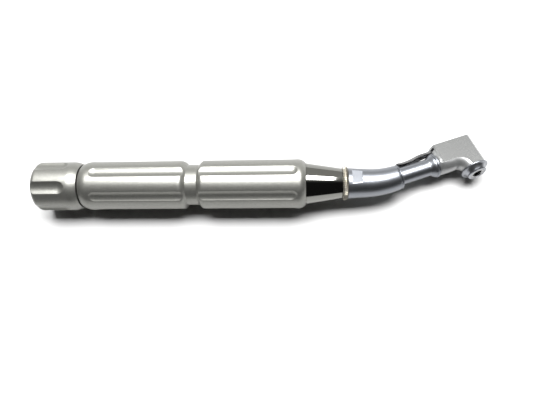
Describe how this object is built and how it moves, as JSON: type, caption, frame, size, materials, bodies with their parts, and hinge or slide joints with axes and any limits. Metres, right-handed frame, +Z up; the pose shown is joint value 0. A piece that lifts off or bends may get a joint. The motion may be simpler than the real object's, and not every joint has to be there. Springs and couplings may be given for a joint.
{
  "type": "contra-angle hand screwdriver",
  "caption": "Hand-turned contra-angle dental driver: a fluted grip with a turning knob, a bent neck with bevel gears, and a small latch head for latch-type bits.",
  "frame": {"origin": "under the middle of the bounding box, on the bench that the tool lies on", "axes": "+X along the handle from the knob to the head, +Z up; the tool lies on its side, on its knob, its grip and one back corner of the head, and the neck bends towards +Y"},
  "size_m": [0.1274, 0.0212, 0.014],
  "materials": {
    "anodised_grip": "bead-blasted, clear anodised, pearly",
    "mirror_steel": "mirror polished",
    "knurled_steel": "fine knurl",
    "satin_steel": "satin polished",
    "blasted_steel": "bead-blasted flats, polished elbow",
    "latch_steel": "polished",
    "shaft_steel": "ground",
    "gear_steel": "hardened, machined",
    "bush_bronze": "sintered bronze",
    "washer_polymer": "black, low friction"
  },
  "bodies": {
    "handle": {"grip_sleeve": "anodised_grip", "rear_bush": "bush_bronze", "front_bush": "bush_bronze", "nose_cone": "mirror_steel", "sheath": "satin_steel", "sheath_bush": "bush_bronze", "neck_tube": "satin_steel", "neck_collar": "satin_steel", "middle_rear_bush": "bush_bronze", "middle_front_bush": "bush_bronze", "head_housing": "blasted_steel", "head_cap": "satin_steel", "chuck_lower_bush": "bush_bronze", "chuck_upper_bush": "bush_bronze", "latch_pin": "latch_steel"},
    "drive": {"turning_knob": "anodised_grip", "knob_screw": "shaft_steel", "knob_washer": "washer_polymer", "drive_shaft": "shaft_steel", "shaft_circlip": "shaft_steel", "input_gear": "gear_steel"},
    "middle": {"middle_shaft": "shaft_steel", "middle_gear": "gear_steel", "middle_pinion": "gear_steel"},
    "chuck": {"chuck_sleeve": "latch_steel", "chuck_gear": "gear_steel"},
    "latch": {"latch_lever": "latch_steel"},
    "ring": {"lock_ring": "knurled_steel"}
  },
  "joints": [
    {"name": "knob_turn", "type": "hinge", "parent": "handle", "child": "drive", "pos_m": [-0.05048, -0.00362, 0.007], "axis": [1, 0, 0], "continuous": true},
    {"name": "middle_spin", "type": "hinge", "parent": "handle", "child": "middle", "pos_m": [0.03391, -0.00362, 0.007], "axis": [0.9418, 0.3201, -0.1032], "continuous": true},
    {"name": "chuck_spin", "type": "hinge", "parent": "handle", "child": "chuck", "pos_m": [0.05849, 0.00474, 0.00431], "axis": [0.3363, -0.8964, 0.2889], "continuous": true},
    {"name": "latch_swing", "type": "hinge", "parent": "handle", "child": "latch", "pos_m": [0.05379, 0.00708, 0.00355], "axis": [-0.3363, 0.8964, -0.2889], "range_deg": [0, 12]},
    {"name": "ring_turn", "type": "hinge", "parent": "handle", "child": "ring", "pos_m": [0.0242, -0.00362, 0.007], "axis": [1, 0, 0], "range_deg": [0, 90]}
  ],
  "couplings": [
    {"joint": "middle_spin", "follows": "knob_turn", "ratio": 1},
    {"joint": "chuck_spin", "follows": "knob_turn", "ratio": 0.71429}
  ]
}
